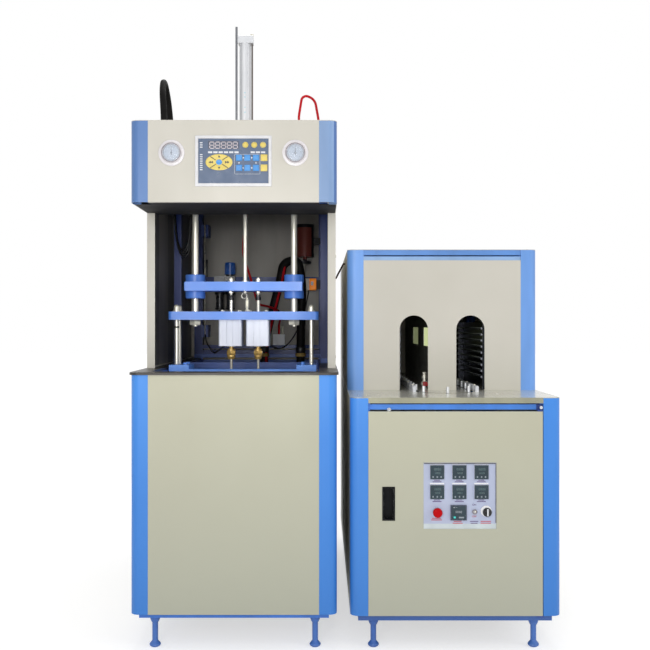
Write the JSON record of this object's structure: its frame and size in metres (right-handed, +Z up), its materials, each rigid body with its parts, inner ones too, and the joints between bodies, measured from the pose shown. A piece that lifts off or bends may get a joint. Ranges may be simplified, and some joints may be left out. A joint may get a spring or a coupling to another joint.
{
  "type": "blow moulding machine",
  "caption": "Semi-automatic stretch blow moulding machine: an open blowing cabinet beside a preform heating cabinet with a spindle conveyor.",
  "frame": {"origin": "floor level under the middle of the two cabinets", "axes": "+Z up, the fronts of both cabinets face -Y, the blowing cabinet is on the -X side"},
  "size_m": [1.456, 1.625, 2.248],
  "materials": {
    "cream_paint": "smooth cream powder coat",
    "blue_paint": "gloss cabinet blue",
    "machine_blue": "pale blue machine paint",
    "dark_paint": "dark blue paint",
    "door_steel": "dull brushed sheet",
    "steel": "machined steel",
    "worktop_steel": "brushed sheet steel",
    "chrome": "hard chromed",
    "aluminium": "anodised",
    "brass": "turned brass",
    "black_plastic": "moulded black plastic",
    "blue_plastic": "moulded dark blue plastic",
    "keypad_film": "printed keypad film",
    "instrument_plastic": "moulded instrument cases",
    "plate_paint": "pale lilac grey paint",
    "red_plastic": "moulded red plastic",
    "quartz": "quartz lamp tube",
    "rubber": "rubber and plastic hose"
  },
  "bodies": {
    "machine": {"blower_frame": "blue_paint", "corner_posts": "blue_paint", "front_cover": "cream_paint", "side_covers": "cream_paint", "rear_covers": "cream_paint", "worktop_rim": "steel", "upper_side_panels": "cream_paint", "door_hinges": "dark_paint", "head_front_panel": "cream_paint", "top_panels": "cream_paint", "head_soffit": "dark_paint", "gauge_cases": "aluminium", "keypad_frame": "aluminium", "keypad_panel": "keypad_film", "top_platen": "machine_blue", "lower_platen": "machine_blue", "platen_rods": "chrome", "platen_nuts": "steel", "stay_saddles": "machine_blue", "stretch_cylinder": "aluminium", "seal_cylinders": "aluminium", "mould_platens": "machine_blue", "tie_bars": "chrome", "front_mould": "aluminium", "clamp_cylinder": "steel", "filter_regulator": "black_plastic", "rear_valves": "dark_paint", "air_hoses": "rubber", "heater_frame": "blue_paint", "heater_worktop": "worktop_steel", "housing_front_panel": "cream_paint", "lamp_tubes": "quartz", "lamp_banks": "door_steel", "tunnel_partition": "door_steel", "guide_rails": "aluminium", "conveyor_chain": "steel", "conveyor_drive": "steel", "cooling_valve": "chrome", "levelling_feet": "blue_paint"},
    "rear_door": {"rear_door": "door_steel"},
    "left_needle": {"left_gauge_needle": "black_plastic"},
    "right_needle": {"right_gauge_needle": "black_plastic"},
    "crosshead": {"crosshead": "machine_blue", "guide_bushes": "machine_blue", "piston_rod": "chrome", "stretch_rods": "steel"},
    "left_seal": {"left_seal_rod": "brass"},
    "right_seal": {"right_seal_rod": "brass"},
    "mould": {"moving_platen": "machine_blue", "rear_mould": "aluminium", "clamp_rod": "chrome"},
    "regulator": {"regulator_knob": "blue_plastic"},
    "heater_door": {"heater_door": "cream_paint", "door_handle": "black_plastic", "control_plate": "plate_paint", "panel_instruments": "instrument_plastic"},
    "stop_button": {"stop_button": "red_plastic"},
    "toggle": {"toggle_lever": "chrome"},
    "selector": {"selector_knob": "black_plastic"},
    "valve_lever": {"valve_lever": "red_plastic"}
  },
  "joints": [
    {"name": "crosshead_slide", "type": "slide", "parent": "machine", "child": "crosshead", "axis": [0, 0, 1], "range_m": [0, 0.27]},
    {"name": "left_seal_slide", "type": "slide", "parent": "machine", "child": "left_seal", "axis": [0, 0, -1], "range_m": [0, 0.044]},
    {"name": "right_seal_slide", "type": "slide", "parent": "machine", "child": "right_seal", "axis": [0, 0, -1], "range_m": [0, 0.044]},
    {"name": "mould_close", "type": "slide", "parent": "machine", "child": "mould", "axis": [0, -1, 0], "range_m": [0, 0.1495]},
    {"name": "left_needle_turn", "type": "hinge", "parent": "machine", "child": "left_needle", "pos_m": [-0.582, -0.7875, 1.678], "axis": [0, 1, 0], "range_deg": [0, 270], "stiffness_Nm_per_rad": 0.002},
    {"name": "right_needle_turn", "type": "hinge", "parent": "machine", "child": "right_needle", "pos_m": [-0.166, -0.7875, 1.678], "axis": [0, 1, 0], "range_deg": [0, 270], "stiffness_Nm_per_rad": 0.002},
    {"name": "regulator_turn", "type": "hinge", "parent": "machine", "child": "regulator", "pos_m": [-0.519, 0.5155, 1.343], "axis": [0, 0, 1], "range_deg": [-360, 360]},
    {"name": "rear_door_hinge", "type": "hinge", "parent": "machine", "child": "rear_door", "pos_m": [-0.04675, 0.6188, 1.364], "axis": [0, 0, -1], "range_deg": [0, 95]},
    {"name": "heater_door_hinge", "type": "hinge", "parent": "machine", "child": "heater_door", "pos_m": [0.6617, -0.7835, 0.4655], "axis": [0, 0, 1], "range_deg": [0, 110]},
    {"name": "stop_button_push", "type": "slide", "parent": "heater_door", "child": "stop_button", "axis": [0, 1, 0], "range_m": [0, 0.004], "stiffness_N_per_m": 900},
    {"name": "toggle_throw", "type": "hinge", "parent": "heater_door", "child": "toggle", "pos_m": [0.4366, -0.7869, 0.472], "axis": [1, 0, 0], "range_deg": [0, 30]},
    {"name": "selector_turn", "type": "hinge", "parent": "heater_door", "child": "selector", "pos_m": [0.4776, -0.7875, 0.472], "axis": [0, 1, 0], "range_deg": [0, 90]},
    {"name": "valve_lever_turn", "type": "hinge", "parent": "machine", "child": "valve_lever", "pos_m": [0.3155, -0.3875, 0.876], "axis": [0, -1, 0], "range_deg": [0, 90]}
  ],
  "couplings": [
    {"joint": "right_seal_slide", "follows": "left_seal_slide", "ratio": 1}
  ]
}
